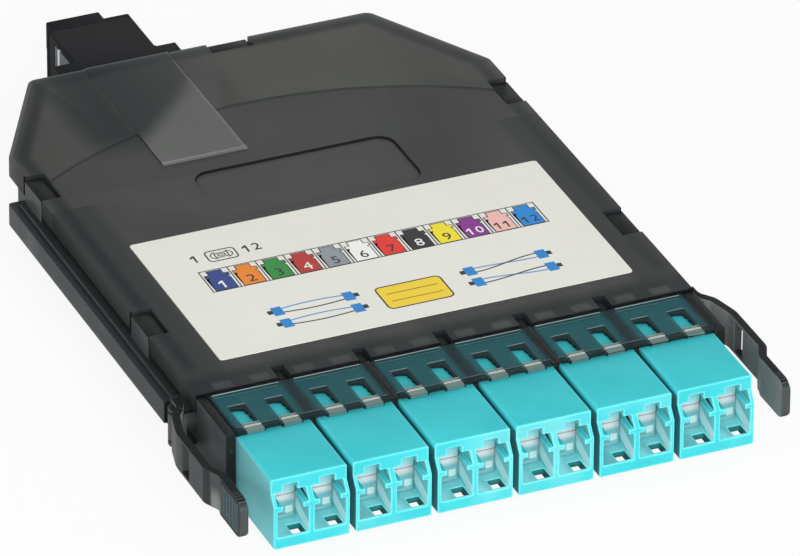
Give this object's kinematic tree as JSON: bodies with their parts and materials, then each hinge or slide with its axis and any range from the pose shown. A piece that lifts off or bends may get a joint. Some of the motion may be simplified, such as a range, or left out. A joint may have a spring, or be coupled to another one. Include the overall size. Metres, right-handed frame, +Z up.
{
  "type": "fibre cassette",
  "caption": "Low smoked fibre cassette with a row of duplex port adapters, side rails, release levers and a capped multi-fibre adapter at the rear.",
  "frame": {"origin": "centre of the tray's flat underside", "axes": "+Y from the port faces to the rear adapter, +Z up through the cover, +X to the right seen from the ports"},
  "size_m": [0.0962, 0.1528, 0.0142],
  "materials": {
    "smoked_tray": "smoked translucent moulding",
    "smoked_cover": "smoked translucent moulding, satin",
    "smoked_lever": "smoked translucent moulding, polished",
    "label_face": "coated label stock",
    "aqua_adapter": "satin moulding",
    "shutter_steel": "satin spring steel",
    "rear_adapter_black": "matt moulding",
    "clip_steel": "bright rolled sheet",
    "cap_black": "matt moulding",
    "inner_mf_plug": "satin moulding",
    "ribbon_aqua": "matt jacket",
    "fan_out_grey": "matt moulding",
    "fibre_tails": "matt buffer, one colour to a fibre",
    "inner_plug": "satin moulding"
  },
  "bodies": {
    "case": {"base_tray": "smoked_tray", "top_cover": "smoked_cover", "label": "label_face", "multi_fibre_adapter": "rear_adapter_black", "adapter_clip": "clip_steel", "inner_multi_fibre_plug": "inner_mf_plug", "ribbon_lead": "ribbon_aqua", "fan_out_block": "fan_out_grey", "fibre_tails": "fibre_tails", "port_adapter_1": "aqua_adapter", "inner_plugs_1": "inner_plug", "port_adapter_2": "aqua_adapter", "inner_plugs_2": "inner_plug", "port_adapter_3": "aqua_adapter", "inner_plugs_3": "inner_plug", "port_adapter_4": "aqua_adapter", "inner_plugs_4": "inner_plug", "port_adapter_5": "aqua_adapter", "inner_plugs_5": "inner_plug", "port_adapter_6": "aqua_adapter", "inner_plugs_6": "inner_plug"},
    "left_lever": {"left_release_lever": "smoked_lever"},
    "right_lever": {"right_release_lever": "smoked_lever"},
    "cap": {"dust_cap": "cap_black"},
    "shutter_01": {"port_shutter_01": "shutter_steel"},
    "shutter_02": {"port_shutter_02": "shutter_steel"},
    "shutter_03": {"port_shutter_03": "shutter_steel"},
    "shutter_04": {"port_shutter_04": "shutter_steel"},
    "shutter_05": {"port_shutter_05": "shutter_steel"},
    "shutter_06": {"port_shutter_06": "shutter_steel"},
    "shutter_07": {"port_shutter_07": "shutter_steel"},
    "shutter_08": {"port_shutter_08": "shutter_steel"},
    "shutter_09": {"port_shutter_09": "shutter_steel"},
    "shutter_10": {"port_shutter_10": "shutter_steel"},
    "shutter_11": {"port_shutter_11": "shutter_steel"},
    "shutter_12": {"port_shutter_12": "shutter_steel"}
  },
  "joints": [
    {"name": "left_lever_squeeze", "type": "hinge", "parent": "case", "child": "left_lever", "pos_m": [-0.0443, -0.0414, 0.0067], "axis": [0, 0, 1], "range_deg": [0, 4], "stiffness_Nm_per_rad": 0.08, "springref_deg": -1.15},
    {"name": "right_lever_squeeze", "type": "hinge", "parent": "case", "child": "right_lever", "pos_m": [0.0443, -0.0414, 0.0067], "axis": [0, 0, -1], "range_deg": [0, 4], "stiffness_Nm_per_rad": 0.08, "springref_deg": -1.15},
    {"name": "dust_cap_pull", "type": "slide", "parent": "case", "child": "cap", "axis": [0, 1, 0], "range_m": [0, 0.012]},
    {"name": "port_shutter_01_swing", "type": "hinge", "parent": "case", "child": "shutter_01", "pos_m": [-0.03762, -0.06695, 0.00965], "axis": [1, 0, 0], "range_deg": [0, 80], "stiffness_Nm_per_rad": 0.0001, "springref_deg": -5.73},
    {"name": "port_shutter_02_swing", "type": "hinge", "parent": "case", "child": "shutter_02", "pos_m": [-0.03138, -0.06695, 0.00965], "axis": [1, 0, 0], "range_deg": [0, 80], "stiffness_Nm_per_rad": 0.0001, "springref_deg": -5.73},
    {"name": "port_shutter_03_swing", "type": "hinge", "parent": "case", "child": "shutter_03", "pos_m": [-0.02382, -0.06695, 0.00965], "axis": [1, 0, 0], "range_deg": [0, 80], "stiffness_Nm_per_rad": 0.0001, "springref_deg": -5.73},
    {"name": "port_shutter_04_swing", "type": "hinge", "parent": "case", "child": "shutter_04", "pos_m": [-0.01758, -0.06695, 0.00965], "axis": [1, 0, 0], "range_deg": [0, 80], "stiffness_Nm_per_rad": 0.0001, "springref_deg": -5.73},
    {"name": "port_shutter_05_swing", "type": "hinge", "parent": "case", "child": "shutter_05", "pos_m": [-0.01002, -0.06695, 0.00965], "axis": [1, 0, 0], "range_deg": [0, 80], "stiffness_Nm_per_rad": 0.0001, "springref_deg": -5.73},
    {"name": "port_shutter_06_swing", "type": "hinge", "parent": "case", "child": "shutter_06", "pos_m": [-0.00378, -0.06695, 0.00965], "axis": [1, 0, 0], "range_deg": [0, 80], "stiffness_Nm_per_rad": 0.0001, "springref_deg": -5.73},
    {"name": "port_shutter_07_swing", "type": "hinge", "parent": "case", "child": "shutter_07", "pos_m": [0.00378, -0.06695, 0.00965], "axis": [1, 0, 0], "range_deg": [0, 80], "stiffness_Nm_per_rad": 0.0001, "springref_deg": -5.73},
    {"name": "port_shutter_08_swing", "type": "hinge", "parent": "case", "child": "shutter_08", "pos_m": [0.01002, -0.06695, 0.00965], "axis": [1, 0, 0], "range_deg": [0, 80], "stiffness_Nm_per_rad": 0.0001, "springref_deg": -5.73},
    {"name": "port_shutter_09_swing", "type": "hinge", "parent": "case", "child": "shutter_09", "pos_m": [0.01758, -0.06695, 0.00965], "axis": [1, 0, 0], "range_deg": [0, 80], "stiffness_Nm_per_rad": 0.0001, "springref_deg": -5.73},
    {"name": "port_shutter_10_swing", "type": "hinge", "parent": "case", "child": "shutter_10", "pos_m": [0.02382, -0.06695, 0.00965], "axis": [1, 0, 0], "range_deg": [0, 80], "stiffness_Nm_per_rad": 0.0001, "springref_deg": -5.73},
    {"name": "port_shutter_11_swing", "type": "hinge", "parent": "case", "child": "shutter_11", "pos_m": [0.03138, -0.06695, 0.00965], "axis": [1, 0, 0], "range_deg": [0, 80], "stiffness_Nm_per_rad": 0.0001, "springref_deg": -5.73},
    {"name": "port_shutter_12_swing", "type": "hinge", "parent": "case", "child": "shutter_12", "pos_m": [0.03762, -0.06695, 0.00965], "axis": [1, 0, 0], "range_deg": [0, 80], "stiffness_Nm_per_rad": 0.0001, "springref_deg": -5.73}
  ]
}
